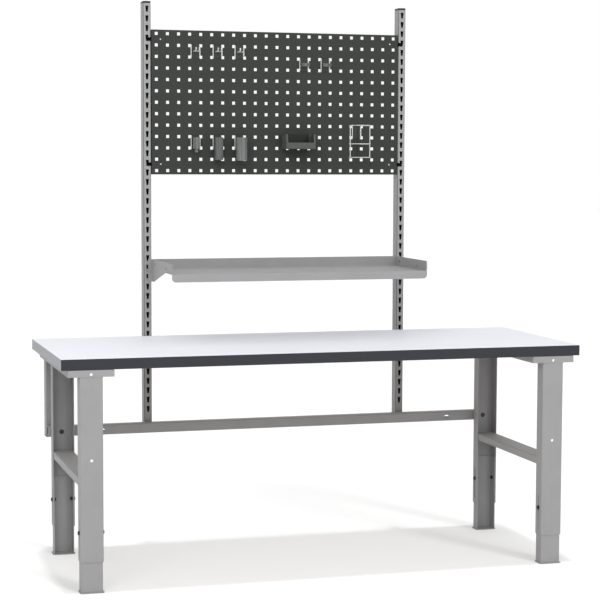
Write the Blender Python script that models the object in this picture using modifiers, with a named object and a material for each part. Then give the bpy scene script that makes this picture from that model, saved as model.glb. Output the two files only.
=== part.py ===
"""Workbench on four telescoping legs, with a shelf and a perforated tool panel on two slotted posts.

Metres, +Z up. The origin is on the floor under the middle of the whole bench, and the front is at -Y.
"""

import math

import bmesh
import bpy
from mathutils import Matrix, Vector

# Fits and overruns that every piece shares
GAP = 0.0003
OVERRUN = 0.003
SINK = 0.0005
WELD_DISTANCE = 0.00001
BEND_STEPS = 2
SMOOTH_DEGREES = 35.0
ROUND_SIDES = 10
HEX_SIDES = 6

# Worktop
TOP_WIDTH = 2.000
TOP_DEPTH = 0.750
TOP_HEIGHT = 0.8475
TOP_THICKNESS = 0.0405
LAMINATE_THICKNESS = 0.0012
BAND_THICKNESS = 0.002
TOP_EDGE_ROUND = 0.0004

# Telescoping legs: an outer channel, an inner channel with a welded foot plate, and a clamp bolt
LEG_INSET = 0.1077
LEG_WIDTH = 0.0842
LEG_DEPTH = 0.0526
LEG_WALL = 0.0025
LEG_BEND = 0.004
LEG_END_HEIGHT = 0.112
REAR_LEG_INSET = 0.0405
INNER_WALL = 0.0025
INNER_SETBACK = 0.002
INNER_LAP_OVER_SLOT = 0.050
FOOT_WIDTH = 0.0875
FOOT_DEPTH = 0.0600
FOOT_THICKNESS = 0.003
FOOT_ROUND = 0.008
NOTCH_PITCH = 0.020
NOTCH_RADIUS = 0.0058
NOTCH_COUNT = 7
NOTCH_IN_USE = 4
SLOT_LOWEST = 0.1365
SLOT_HALF_WIDTH = 0.0046
WEB_HOLE_RADIUS = 0.0055
WEB_HOLE_BELOW_TOP = 0.0165

# Bolts
BOLT_RADIUS = 0.004
HEAD_RADIUS = 0.0075
HEAD_THICKNESS = 0.0055

# Folded members: under the worktop, between the legs of a pair, and across the rear
MEMBER_WIDTH = 0.168
MEMBER_HEIGHT = 0.0255
MEMBER_WALL = 0.002
MEMBER_BEND = 0.003
RAIL_TOP = 0.4095
RAIL_HEIGHT = 0.027
RAIL_WALL = 0.002
RAIL_BEND = 0.003
BAR_REACH_PAST_LEG = 0.0537
BAR_TOP = 0.500
BAR_HEIGHT = 0.0387
BAR_WALL = 0.002
BAR_BEND = 0.003
BAR_LIP = 0.012
BAR_SLOT_INSET = 0.1623
BAR_SLOT_LENGTH = 0.020
BAR_SLOT_HEIGHT = 0.011

# Slotted posts, and the short stubs of the same section at the ends of the crossbar
POST_SPACING = 1.0698
POST_WIDTH = 0.0310
POST_DEPTH = 0.0516
POST_WALL = 0.002
POST_ROUND = 0.003
POST_STANDOFF = 0.0078
POST_TOP = 2.1693
STUB_TOP_GAP = 0.004
SLOT_PITCH = 0.038
SLOT_HEIGHT = 0.024
SLOT_TOP_WIDTH = 0.0125
SLOT_FOOT_WIDTH = 0.0072
FIRST_SLOT_DROP = 0.0225
LAST_SLOT_ABOVE_BAR = 0.020
CAP_THICKNESS = 0.008
CAP_PLUG = 0.012
CAP_ROUND = 0.002
BRACKET_THICKNESS = 0.002
BRACKET_DROP = 0.040
NUT_WIDTH = 0.026
NUT_HEIGHT = 0.022
NUT_THICKNESS = 0.006

# Perforated panel and its hooks
PANEL_TOP = 2.0662
PANEL_SIDE_GAP = 0.0021
PANEL_WALL = 0.0015
PANEL_RETURN = 0.018
PANEL_BEND = 0.0025
HOLE_PITCH = 0.0452
HOLE_SIZE = 0.012
HOLE_ROWS = 13
HOLE_MARGIN = 0.0155
HOOK_INSET = 0.035
HOOK_WALL = 0.0015
HOOK_HEIGHT = 0.014
HOOK_REACH_PAST_TONGUE = 0.0005
HOOK_SEAT = 0.005

# Tongues that pass through a slot or a hole and turn down behind the sheet
TONGUE_WIDTH = 0.005
TONGUE_HALF_HEIGHT = 0.003
TONGUE_THICKNESS = 0.003
TONGUE_DROP = 0.005

# Shelf on two brackets, hooked in between the worktop and the panel
SHELF_PLACE_SHARE = 0.417
SHELF_EDGE_RISE = 0.0385
SHELF_REACH = 0.365
SHELF_WALL = 0.002
SHELF_BEND = 0.003
SHELF_LIP_HEIGHT = 0.031
SHELF_LIP_ROUND = 0.016
SHELF_LIP_INSET = 0.001
SHELF_BRACKET_WALL = 0.002
SHELF_BRACKET_DROP = 0.090
SHELF_BRACKET_NOSE = 0.033
SHELF_BRACKET_TAIL = 0.028
SHELF_BRACKET_FLAT = 0.084
SHELF_BRACKET_FLANGE = 0.0157
SHELF_BRACKET_ROUND = 0.010
SHELF_EAR_HEIGHT = 0.008

# Clip-in bases of the tool holders
BASE_THICKNESS = 0.002
BASE_HALF_WIDTH = 0.0196
BASE_DEPTH = 0.006

# Tool holders
HOOK_WIRE_RADIUS = 0.003
HOOK_WIRE_REACH = 0.045
HOOK_WIRE_RISE = 0.014
HOOK_WIRE_SPREAD = 0.014
CLIP_RADIUS = 0.0175
CLIP_WALL = 0.0018
CLIP_HEIGHT = 0.014
CLIP_OPENING_DEGREES = 100.0
CLIP_STEPS = 8
TUBE_WALL = 0.0015
TUBE_SIDES = 16
SMALL_TUBE_RADIUS = 0.0180
SMALL_TUBE_LENGTH = 0.090
LARGE_TUBE_RADIUS = 0.0225
LARGE_TUBE_LENGTH = 0.093
TUBE_TOP_RISE = 0.020
FUNNEL_RADIUS = 0.0145
FUNNEL_LENGTH = 0.046
SPOUT_RADIUS = 0.00725
SPOUT_LENGTH = 0.014
STANDOFF_WIDTH = 0.010
STANDOFF_HEIGHT = 0.030
CLIP_STANDOFF = 0.010
FUNNEL_STANDOFF = 0.004
SMALL_TUBE_STANDOFF = 0.008
LARGE_TUBE_STANDOFF = 0.018
TRAY_WIDTH = 0.124
TRAY_DEPTH = 0.073
TRAY_HEIGHT = 0.0604
TRAY_FRONT_HEIGHT = 0.026
TRAY_WALL = 0.0015
TRAY_TOP_RISE = 0.0126
TRAY_OFFSET = 0.0126
TRAY_SIDE_LEAN = 0.006
TRAY_FLANGE = 0.008
CAN_RING_RADIUS = 0.044
CAN_WIRE_RADIUS = 0.002
CAN_RING_SIDES = 14
CAN_RING_RISE = 0.027
CAN_RING_DROP = 0.048
CAN_BASE_DROP = 0.103
CAN_UPRIGHT_DEGREES = (80.0, 190.0, 320.0)

# Holes of the panel that each holder uses: columns from the nearer end, rows from the top
WRENCH_COLUMNS = (3, 5, 7)
WRENCH_ROW = 1
CLIP_COLUMNS_FROM_RIGHT = (9, 7)
CLIP_ROW = 2
LOWER_COLUMNS = (3, 5, 7)
LOWER_ROW = 9
TRAY_COLUMN_FROM_RIGHT = 10
TRAY_ROW = 9
CAN_COLUMN_FROM_RIGHT = 4
CAN_ROW = 8

# Places that follow from the sizes above
LEG_MIDDLE = LEG_DEPTH / 2
FOOT_OVERHANG = FOOT_DEPTH / 2 - LEG_MIDDLE - MEMBER_WALL - GAP
POST_OVERHANG = POST_STANDOFF + POST_DEPTH + GAP + HEAD_THICKNESS
TOP_MIDDLE = (FOOT_OVERHANG - POST_OVERHANG) / 2
FRONT = TOP_MIDDLE - TOP_DEPTH / 2
REAR = TOP_MIDDLE + TOP_DEPTH / 2
UNDERSIDE = TOP_HEIGHT - TOP_THICKNESS
LEG_X = TOP_WIDTH / 2 - LEG_INSET
FRONT_WEB = FRONT + MEMBER_WALL + GAP
REAR_LEG_BACK = REAR - REAR_LEG_INSET
POST_FRONT = REAR + POST_STANDOFF
SHELF_FRONT = REAR - SHELF_REACH
LEG_TOP = UNDERSIDE - GAP - MEMBER_BEND
FRONT_LEG_Y = FRONT_WEB + LEG_MIDDLE
REAR_LEG_Y = REAR_LEG_BACK - LEG_MIDDLE
MEMBER_BACK = REAR_LEG_BACK + GAP + MEMBER_WALL
BAR_MIDDLE = BAR_TOP - BAR_HEIGHT / 2
BAR_HALF_LENGTH = LEG_X + BAR_REACH_PAST_LEG
BAR_FRONT = REAR_LEG_BACK + GAP
BAR_BACK = POST_FRONT - GAP
POST_X = POST_SPACING / 2
POST_BACK = POST_FRONT + POST_DEPTH
POST_BOTTOM = BAR_TOP - BAR_HEIGHT
TONGUE_SEAT = SLOT_HEIGHT / 2 - TONGUE_HALF_HEIGHT - GAP
HOOK_EDGE = POST_X + TONGUE_WIDTH / 2 + HOOK_REACH_PAST_TONGUE
STUB_X = BAR_HALF_LENGTH - POST_WIDTH / 2
CLAMP_HEIGHT = SLOT_LOWEST + NOTCH_IN_USE * NOTCH_PITCH
INNER_TOP = SLOT_LOWEST + (NOTCH_COUNT - 1) * NOTCH_PITCH + INNER_LAP_OVER_SLOT
POST_INSIDE = POST_X - POST_WIDTH / 2
PANEL_HALF_WIDTH = POST_INSIDE - PANEL_SIDE_GAP
HOLE_COLUMNS = int((2 * PANEL_HALF_WIDTH - HOLE_PITCH + HOLE_SIZE) / HOLE_PITCH) + 1
PANEL_HEIGHT = (HOLE_ROWS - 1) * HOLE_PITCH + 2 * HOLE_MARGIN
PANEL_BOTTOM = PANEL_TOP - PANEL_HEIGHT
SHELF_TOP = TOP_HEIGHT + SHELF_PLACE_SHARE * (PANEL_BOTTOM - TOP_HEIGHT)
SHELF_EDGE_TOP = SHELF_TOP + SHELF_EDGE_RISE
SHELF_HALF_WIDTH = PANEL_HALF_WIDTH - SHELF_BRACKET_WALL - GAP

PARTS_COLLECTION = "workbench"
CUTTERS_COLLECTION = "workbench cutters"


# Scene and materials

def clear_scene():
    """Remove what the scene holds and make the two collections."""
    for existing in list(bpy.data.objects):
        bpy.data.objects.remove(existing, do_unlink=True)
    for name in (PARTS_COLLECTION, CUTTERS_COLLECTION):
        collection = bpy.data.collections.new(name)
        bpy.context.scene.collection.children.link(collection)


def linear_colour(hex_code):
    """Turn an sRGB hex code into linear red, green, blue and alpha."""
    channels = [int(hex_code[i:i + 2], 16) / 255 for i in (0, 2, 4)]
    linear = [c / 12.92 if c <= 0.04045 else ((c + 0.055) / 1.055) ** 2.4 for c in channels]
    return (*linear, 1.0)


def make_material(name, hex_code, roughness, metallic):
    """Make a plain Principled BSDF material."""
    material = bpy.data.materials.new(name)
    material.use_nodes = True
    shader = material.node_tree.nodes["Principled BSDF"]
    shader.inputs["Base Color"].default_value = linear_colour(hex_code)
    shader.inputs["Roughness"].default_value = roughness
    shader.inputs["Metallic"].default_value = metallic
    material.diffuse_color = linear_colour(hex_code)
    return material


def make_materials():
    """Make every material of the bench by its plain name."""
    return {
        "laminate": make_material("white laminate", "E6E8EC", 0.45, 0.0),
        "board": make_material("particle board", "B79B73", 0.80, 0.0),
        "dark band": make_material("dark plastic edge band", "3C3E44", 0.50, 0.0),
        "grey band": make_material("grey plastic edge band", "9A9CA0", 0.50, 0.0),
        "frame": make_material("grey powder coat", "A6A7A6", 0.50, 0.0),
        "panel": make_material("dark powder coat", "454745", 0.55, 0.0),
        "zinc": make_material("zinc plated steel", "8E9092", 0.35, 0.9),
        "black": make_material("black plastic", "1C1C1D", 0.50, 0.0),
        "holder": make_material("holder grey", "7C7D7B", 0.45, 0.0),
        "wire": make_material("galvanised wire", "C8C9C6", 0.35, 0.9),
    }


# Shapes

def add_object(name, mesh, at):
    """Put a mesh into the parts collection as an object at the given place."""
    item = bpy.data.objects.new(name, mesh)
    item.location = at
    bpy.data.collections[PARTS_COLLECTION].objects.link(item)
    return item


def from_bmesh(name, shape, at):
    """Turn a bmesh into an object."""
    mesh = bpy.data.meshes.new(name)
    shape.to_mesh(mesh)
    shape.free()
    return add_object(name, mesh, at)


def box(name, low, high):
    """Make a box between two corners, with its origin at its middle."""
    low, high = Vector(low), Vector(high)
    shape = bmesh.new()
    bmesh.ops.create_cube(shape, size=1.0)
    bmesh.ops.scale(shape, vec=high - low, verts=shape.verts)
    return from_bmesh(name, shape, (low + high) / 2)


def axis_turn(axis):
    """Turn local +Z to the named axis, and for a flat outline keep its second axis upright."""
    columns = {
        "X": (Vector((0, 1, 0)), Vector((0, 0, 1)), Vector((1, 0, 0))),
        "Y": (Vector((1, 0, 0)), Vector((0, 0, 1)), Vector((0, -1, 0))),
        "Z": (Vector((1, 0, 0)), Vector((0, 1, 0)), Vector((0, 0, 1))),
    }[axis]
    return Matrix(columns).transposed().to_4x4()


def rod(name, radius, length, axis, at, sides=ROUND_SIDES):
    """Make a round or many-sided bar centred on a point."""
    shape = bmesh.new()
    bmesh.ops.create_cone(shape, cap_ends=True, segments=sides, radius1=radius, radius2=radius, depth=length)
    bmesh.ops.transform(shape, matrix=axis_turn(axis), verts=shape.verts)
    return from_bmesh(name, shape, at)


def mesh_from_curve(name, curve):
    """Turn a curve into a closed mesh, with its caps welded."""
    holder = bpy.data.objects.new(name, curve)
    bpy.context.scene.collection.objects.link(holder)
    evaluated = holder.evaluated_get(bpy.context.evaluated_depsgraph_get())
    mesh = bpy.data.meshes.new_from_object(evaluated)
    bpy.data.objects.remove(holder, do_unlink=True)
    shape = bmesh.new()
    shape.from_mesh(mesh)
    bmesh.ops.remove_doubles(shape, verts=shape.verts, dist=WELD_DISTANCE)
    bmesh.ops.recalc_face_normals(shape, faces=shape.faces)
    shape.to_mesh(mesh)
    shape.free()
    mesh.name = name
    return mesh


def plate(name, outlines, thickness, axis, at):
    """Make a flat or long piece from closed outlines, the first outside and any others its holes."""
    curve = bpy.data.curves.new(name, "CURVE")
    curve.dimensions = "2D"
    curve.fill_mode = "BOTH"
    curve.extrude = thickness / 2
    for outline in outlines:
        spline = curve.splines.new("POLY")
        spline.points.add(len(outline) - 1)
        for point, (u, v) in zip(spline.points, outline):
            point.co = (u, v, 0, 1)
        spline.use_cyclic_u = True
    mesh = mesh_from_curve(name, curve)
    mesh.transform(axis_turn(axis))
    return add_object(name, mesh, at)


def wire(name, points, radius, closed=False):
    """Make a bent round wire through points."""
    curve = bpy.data.curves.new(name, "CURVE")
    curve.dimensions = "3D"
    curve.bevel_depth = radius
    curve.bevel_resolution = 1
    curve.use_fill_caps = True
    spline = curve.splines.new("POLY")
    spline.points.add(len(points) - 1)
    for point, place in zip(spline.points, points):
        point.co = (*place, 1)
    spline.use_cyclic_u = closed
    return add_object(name, mesh_from_curve(name, curve), (0, 0, 0))


def turned(name, profile, sides, at):
    """Make a turned piece from a profile of radius and height, run from the top down its outside."""
    shape = bmesh.new()
    points = [shape.verts.new((radius, 0, height)) for radius, height in profile]
    for first, second in zip(points, points[1:] + points[:1]):
        shape.edges.new((first, second))
    item = from_bmesh(name, shape, at)
    screw = item.modifiers.new("turn", "SCREW")
    screw.angle = math.tau
    screw.steps = sides
    screw.render_steps = sides
    screw.use_merge_vertices = True
    screw.merge_threshold = WELD_DISTANCE
    return item


def pan(name, low, high, open_side, wall, bend):
    """Fold a sheet into a pan: a box with one side open, rounded at its folds."""
    low, high = Vector(low), Vector(high)
    shape = bmesh.new()
    bmesh.ops.create_cube(shape, size=1.0)
    bmesh.ops.scale(shape, vec=high - low, verts=shape.verts)
    shape.faces.ensure_lookup_table()
    facing = max(shape.faces, key=lambda face: face.normal.dot(Vector(open_side)))
    bmesh.ops.delete(shape, geom=[facing], context="FACES_ONLY")
    item = from_bmesh(name, shape, (low + high) / 2)
    folds = item.modifiers.new("folds", "BEVEL")
    folds.width = bend
    folds.segments = BEND_STEPS
    folds.limit_method = "ANGLE"
    sheet = item.modifiers.new("sheet", "SOLIDIFY")
    sheet.thickness = wall
    sheet.offset = -1.0
    sheet.use_even_offset = True
    return item


def combine(name, items):
    """Put several separate shapes into one mesh, which serves as one cutter or one joining shape."""
    shape = bmesh.new()
    depsgraph = bpy.context.evaluated_depsgraph_get()
    for item in items:
        mesh = bpy.data.meshes.new_from_object(item.evaluated_get(depsgraph))
        mesh.transform(Matrix.Translation(item.location))
        shape.from_mesh(mesh)
        bpy.data.objects.remove(item, do_unlink=True)
    return from_bmesh(name, shape, (0, 0, 0))


def boolean(target, tool, operation):
    """Cut a tool from a target, or join it on, and put the tool among the cutters."""
    modifier = target.modifiers.new(tool.name, "BOOLEAN")
    modifier.operation = operation
    modifier.solver = "EXACT"
    modifier.object = tool
    bpy.data.collections[PARTS_COLLECTION].objects.unlink(tool)
    bpy.data.collections[CUTTERS_COLLECTION].objects.link(tool)
    tool.hide_render = True
    tool.display_type = "WIRE"


def cut(target, tool):
    """Take the tool's volume out of the target."""
    boolean(target, tool, "DIFFERENCE")


def join(target, tool):
    """Make the tool's volume part of the target."""
    boolean(target, tool, "UNION")


def bake(item):
    """Apply a piece's modifiers and give its mesh, for pieces that are made once and placed often."""
    bpy.context.view_layer.update()
    mesh = bpy.data.meshes.new_from_object(item.evaluated_get(bpy.context.evaluated_depsgraph_get()))
    mesh.transform(Matrix.Translation(item.location))
    tools = [modifier.object for modifier in item.modifiers if modifier.type == "BOOLEAN"]
    for used in [item] + tools:
        bpy.data.objects.remove(used, do_unlink=True)
    return mesh


def finish(item, material, parent, smooth=False):
    """Give a piece its material, shading and parent."""
    item.data.materials.clear()
    item.data.materials.append(material)
    if smooth:
        item.data.shade_smooth()
        item.data.set_sharp_from_angle(angle=math.radians(SMOOTH_DEGREES))
    if parent is not None:
        item.parent = parent
        item.location = item.location - parent.location
    return item


def add_empty(name, at):
    """Add an empty that carries pieces."""
    item = bpy.data.objects.new(name, None)
    item.location = at
    item.empty_display_size = LEG_WIDTH
    bpy.data.collections[PARTS_COLLECTION].objects.link(item)
    return item


# Outlines

def arc(centre, radius, start, end, steps):
    """Give points on an arc between two angles in degrees."""
    angles = [math.radians(start + (end - start) * i / steps) for i in range(steps + 1)]
    return [(centre[0] + radius * math.cos(a), centre[1] + radius * math.sin(a)) for a in angles]


def rounded_rectangle(width, height, radius):
    """Give a rectangle about the origin with rounded corners."""
    u, v = width / 2 - radius, height / 2 - radius
    corners = ((u, v, 0), (-u, v, 90), (-u, -v, 180), (u, -v, 270))
    points = []
    for centre_u, centre_v, start in corners:
        points += arc((centre_u, centre_v), radius, start, start + 90, BEND_STEPS)
    return points


def round_bends(line, radius):
    """Round the inner corners of an open line."""
    smooth = [Vector(line[0])]
    for before, corner, after in zip(line, line[1:], line[2:]):
        corner = Vector(corner)
        back = (Vector(before) - corner).normalized()
        ahead = (Vector(after) - corner).normalized()
        half_angle = back.angle(ahead) / 2
        centre = corner + (back + ahead).normalized() * radius / math.sin(half_angle)
        start = corner + back * radius / math.tan(half_angle) - centre
        end = corner + ahead * radius / math.tan(half_angle) - centre
        for i in range(BEND_STEPS + 1):
            mixed = start.lerp(end, i / BEND_STEPS)
            smooth.append(centre + mixed.normalized() * radius)
    smooth.append(Vector(line[-1]))
    return smooth


def folded(line, wall, bend):
    """Give the outline of a folded sheet from the line through the middle of its wall."""
    smooth = round_bends(line, bend)
    left, right = [], []
    for i, point in enumerate(smooth):
        before = smooth[max(i - 1, 0)]
        after = smooth[min(i + 1, len(smooth) - 1)]
        into = (point - before).normalized() if i else (after - point).normalized()
        out = (after - point).normalized() if i < len(smooth) - 1 else into
        along = (into + out).normalized()
        offset = Vector((-along.y, along.x)) * wall / 2 / max(along.dot(into), WELD_DISTANCE)
        left.append(tuple(point + offset))
        right.append(tuple(point - offset))
    return left + right[::-1]


def channel_outline(width, depth, wall, bend):
    """Give a channel about the origin, with its web at the low side of its depth."""
    half_width, half_depth = (width - wall) / 2, depth / 2
    web = -half_depth + wall / 2
    line = [(-half_width, half_depth), (-half_width, web), (half_width, web), (half_width, half_depth)]
    return folded(line, wall, bend)


def scalloped_outline():
    """Give the upright slot of a leg, whose notches hold the clamp bolt at steps of height."""
    reach = math.degrees(math.acos(SLOT_HALF_WIDTH / NOTCH_RADIUS))
    centres = [i * NOTCH_PITCH for i in range(NOTCH_COUNT)]
    side = [(SLOT_HALF_WIDTH, centres[0] - NOTCH_RADIUS)]
    for centre in centres:
        side += arc((0, centre), NOTCH_RADIUS, -reach, reach, BEND_STEPS)
    side.append((SLOT_HALF_WIDTH, centres[-1] + NOTCH_RADIUS))
    return side + [(-u, v) for u, v in reversed(side)]


def stadium_outline(length, height):
    """Give a level slot with round ends."""
    radius = height / 2
    reach = length / 2 - radius
    steps = 2 * BEND_STEPS
    return arc((reach, 0), radius, -90, 90, steps) + arc((-reach, 0), radius, 90, 270, steps)


# Bolts and tongues

def bolt(name, grip, axis, at, facing=1, nut_box=None):
    """Make a bolt with its head and nut, whose seats lie just outside the grip."""
    seat = grip / 2 + GAP
    direction = axis_turn(axis).to_3x3() @ Vector((0, 0, facing))
    at = Vector(at)
    item = rod(name, BOLT_RADIUS, grip + 2 * (GAP + HEAD_THICKNESS) - 2 * SINK, axis, at)
    sides = (1, -1) if nut_box is None else (1,)
    for side in sides:
        head_at = at + direction * side * (seat + HEAD_THICKNESS / 2)
        join(item, rod(f"{name} head {side}", HEAD_RADIUS, HEAD_THICKNESS, axis, head_at, HEX_SIDES))
    if nut_box is not None:
        width, height, thickness = nut_box
        middle = at - direction * (seat + thickness / 2)
        half = Vector((width / 2, thickness / 2, height / 2))
        join(item, box(f"{name} nut", middle - half, middle + half))
    return item


def tongue(name, front, wall, hole_half_height, at, width=TONGUE_WIDTH):
    """Make a tongue that enters a hole from its front, passes the wall and turns down behind it."""
    back = wall + GAP
    drop = -hole_half_height - TONGUE_DROP
    outline = [
        (front, TONGUE_HALF_HEIGHT),
        (front, -TONGUE_HALF_HEIGHT),
        (back, -TONGUE_HALF_HEIGHT),
        (back, drop),
        (back + TONGUE_THICKNESS, drop),
        (back + TONGUE_THICKNESS, TONGUE_HALF_HEIGHT),
    ]
    return plate(name, [outline], width, "X", at)


# Worktop

def build_worktop(materials, parent):
    """Build the board, its laminate and the bands on its four edges."""
    x = TOP_WIDTH / 2
    skin = TOP_HEIGHT - LAMINATE_THICKNESS
    band_top = skin - GAP
    band_x = x - BAND_THICKNESS
    band_front, band_rear = FRONT + BAND_THICKNESS, REAR - BAND_THICKNESS
    low, high = band_front + GAP, band_rear - GAP
    board = box("worktop_board", (-band_x + GAP, low, UNDERSIDE), (band_x - GAP, high, band_top))
    finish(board, materials["board"], parent)
    laminate = box("worktop_laminate", (-x, FRONT, skin), (x, REAR, TOP_HEIGHT))
    soften(laminate, TOP_EDGE_ROUND)
    finish(laminate, materials["laminate"], parent)
    front = box("edge_band_front", (-x, FRONT, UNDERSIDE), (x, band_front, band_top))
    rear = box("edge_band_rear", (-x, band_rear, UNDERSIDE), (x, REAR, band_top))
    left = box("edge_band_left", (-x, low, UNDERSIDE), (-band_x, high, band_top))
    right = box("edge_band_right", (band_x, low, UNDERSIDE), (x, high, band_top))
    for band, colour in ((front, "dark"), (rear, "dark"), (left, "grey"), (right, "grey")):
        soften(band, TOP_EDGE_ROUND)
        finish(band, materials[f"{colour} band"], parent)


def soften(item, width):
    """Round a piece's edges a little."""
    bevel = item.modifiers.new("soft edges", "BEVEL")
    bevel.width = width
    bevel.segments = 1
    bevel.limit_method = "ANGLE"


# Legs

def outer_leg_mesh():
    """Model one outer channel about its own middle, with its web at -Y and its foot end at zero."""
    length = LEG_TOP - LEG_END_HEIGHT
    outline = channel_outline(LEG_WIDTH, LEG_DEPTH, LEG_WALL, LEG_BEND)
    leg = plate("outer leg", [outline], length, "Z", (0, 0, LEG_END_HEIGHT + length / 2))
    slot_at = (0, 0, SLOT_LOWEST)
    cut(leg, plate("leg slot", [scalloped_outline()], LEG_WIDTH + 2 * OVERRUN, "X", slot_at))
    web = -LEG_MIDDLE + LEG_WALL / 2
    for height in (BAR_MIDDLE, UNDERSIDE - WEB_HOLE_BELOW_TOP):
        cut(leg, rod("web hole", WEB_HOLE_RADIUS, LEG_WALL + 2 * OVERRUN, "Y", (0, web, height)))
    return bake(leg)


def inner_leg_mesh():
    """Model one inner channel on its welded foot plate, nested in the outer channel with a gap."""
    width = LEG_WIDTH - 2 * (LEG_WALL + GAP)
    depth = LEG_DEPTH - LEG_WALL - GAP - INNER_SETBACK
    middle = (LEG_WALL + GAP - INNER_SETBACK) / 2
    low = FOOT_THICKNESS - SINK
    outline = channel_outline(width, depth, INNER_WALL, LEG_BEND)
    leg = plate("inner leg", [outline], INNER_TOP - low, "Z", (0, middle, (INNER_TOP + low) / 2))
    foot_outline = rounded_rectangle(FOOT_WIDTH, FOOT_DEPTH, FOOT_ROUND)
    join(leg, plate("foot plate", [foot_outline], FOOT_THICKNESS, "Z", (0, 0, FOOT_THICKNESS / 2)))
    hole = rod("clamp hole", BOLT_RADIUS + GAP, LEG_WIDTH, "X", (0, 0, CLAMP_HEIGHT))
    cut(leg, hole)
    return bake(leg)


def build_legs(materials, parent):
    """Place four outer channels, and in each an inner channel and clamp bolt on their own empty."""
    outer_mesh, inner_mesh = outer_leg_mesh(), inner_leg_mesh()
    bolt_mesh = bake(bolt("clamp bolt", LEG_WIDTH, "X", (0, 0, 0)))
    for side, side_name in ((-1, "left"), (1, "right")):
        for row, y, turn in (("front", FRONT_LEG_Y, 0.0), ("rear", REAR_LEG_Y, math.pi)):
            place = f"{row}_{side_name}"
            x = side * LEG_X
            outer = add_object(f"outer_leg_{place}", outer_mesh, (x, y, 0))
            outer.rotation_euler.z = turn
            finish(outer, materials["frame"], parent)
            axis = add_empty(f"leg_axis_{place}", (x, y, CLAMP_HEIGHT))
            inner = add_object(f"inner_leg_{place}", inner_mesh, (x, y, 0))
            inner.rotation_euler.z = turn
            finish(inner, materials["frame"], axis)
            clamp = add_object(f"clamp_bolt_{place}", bolt_mesh, (x, y, CLAMP_HEIGHT))
            finish(clamp, materials["zinc"], axis)


# Folded members

def build_members(materials, parent):
    """Build the pan under the worktop and the low rail of each leg pair."""
    for side, side_name in ((-1, "left"), (1, "right")):
        x = side * LEG_X
        half, top = MEMBER_WIDTH / 2, UNDERSIDE - GAP
        low, high = (x - half, FRONT, top - MEMBER_HEIGHT), (x + half, MEMBER_BACK, top)
        member = pan(f"top_member_{side_name}", low, high, (0, 0, -1), MEMBER_WALL, MEMBER_BEND)
        length = 2 * (MEMBER_WALL + OVERRUN)
        for row, y in (("front", FRONT), ("rear", MEMBER_BACK)):
            at = (x, y, UNDERSIDE - WEB_HOLE_BELOW_TOP)
            cut(member, rod(f"member hole {row} {side_name}", WEB_HOLE_RADIUS, length, "Y", at))
        finish(member, materials["frame"], parent)

        width = LEG_WIDTH - 2 * (LEG_WALL + GAP)
        low_y = FRONT_WEB + LEG_WALL + LEG_BEND
        high_y = REAR_LEG_BACK - LEG_WALL - LEG_BEND
        section = [(u, -v) for u, v in channel_outline(width, RAIL_HEIGHT, RAIL_WALL, RAIL_BEND)]
        middle = (x, (low_y + high_y) / 2, RAIL_TOP - RAIL_HEIGHT / 2)
        rail = plate(f"side_rail_{side_name}", [section], high_y - low_y, "Y", middle)
        finish(rail, materials["frame"], parent)


def build_crossbar(materials, parent):
    """Build the lipped channel across the rear legs, its bolts and its level slots."""
    front, back = BAR_FRONT + BAR_WALL / 2, BAR_BACK - BAR_WALL / 2
    half = (BAR_HEIGHT - BAR_WALL) / 2
    lip = half - BAR_LIP + BAR_WALL / 2
    line = [(back, lip), (back, half), (front, half), (front, -half), (back, -half), (back, -lip)]
    section = folded(line, BAR_WALL, BAR_BEND)
    bar = plate("rear_crossbar", [section], 2 * BAR_HALF_LENGTH, "X", (0, 0, BAR_MIDDLE))
    slot = stadium_outline(BAR_SLOT_LENGTH, BAR_SLOT_HEIGHT)
    web_cut = BAR_WALL + 2 * OVERRUN
    for side, side_name in ((-1, "left"), (1, "right")):
        at = (side * (LEG_X - BAR_SLOT_INSET), front, BAR_MIDDLE)
        cut(bar, plate(f"bar slot {side_name}", [slot], web_cut, "Y", at))
        hole_at = (side * LEG_X, front, BAR_MIDDLE)
        cut(bar, rod(f"bar hole {side_name}", BOLT_RADIUS + GAP, web_cut, "Y", hole_at))
        grip = LEG_WALL + GAP + BAR_WALL
        bolt_at = (side * LEG_X, REAR_LEG_BACK - LEG_WALL + grip / 2, BAR_MIDDLE)
        fixing = bolt(f"crossbar_bolt_{side_name}", grip, "Y", bolt_at)
        finish(fixing, materials["zinc"], parent)
    finish(bar, materials["frame"], parent)


# Posts

def tube_section():
    """Give the outside and the inside of a post's section."""
    outside = rounded_rectangle(POST_WIDTH, POST_DEPTH, POST_ROUND)
    inside = rounded_rectangle(POST_WIDTH - 2 * POST_WALL, POST_DEPTH - 2 * POST_WALL, POST_ROUND - POST_WALL)
    return [outside, inside]


def slot_heights():
    """Give the middle of every slot of a post, from the top down."""
    first = POST_TOP - FIRST_SLOT_DROP
    last = BAR_TOP + LAST_SLOT_ABOVE_BAR
    count = int((first - last) / SLOT_PITCH) + 1
    return [first - i * SLOT_PITCH for i in range(count)]


def nearest_slot(height):
    """Give the middle of the slot nearest a height."""
    return min(slot_heights(), key=lambda middle: abs(middle - height))


def keyhole_outline():
    """Give one slot, wide at its top to take a hook and narrow at its foot to hold it."""
    top, foot, half = SLOT_TOP_WIDTH / 2, SLOT_FOOT_WIDTH / 2, SLOT_HEIGHT / 2
    return [(-foot, -half), (foot, -half), (top, half), (-top, half)]


def post_mesh():
    """Model one slotted post about its own middle line."""
    post = plate("post", tube_section(), POST_TOP - POST_BOTTOM, "Z", (0, 0, (POST_TOP + POST_BOTTOM) / 2))
    front = -POST_DEPTH / 2 + POST_WALL / 2
    depth = POST_WALL + 2 * OVERRUN
    slots = [plate("slot", [keyhole_outline()], depth, "Y", (0, front, z)) for z in slot_heights()]
    cut(post, combine("post slots", slots))
    cut(post, rod("post bolt hole", BOLT_RADIUS + GAP, POST_DEPTH + 2 * OVERRUN, "Y", (0, 0, BAR_MIDDLE)))
    return bake(post)


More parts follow.
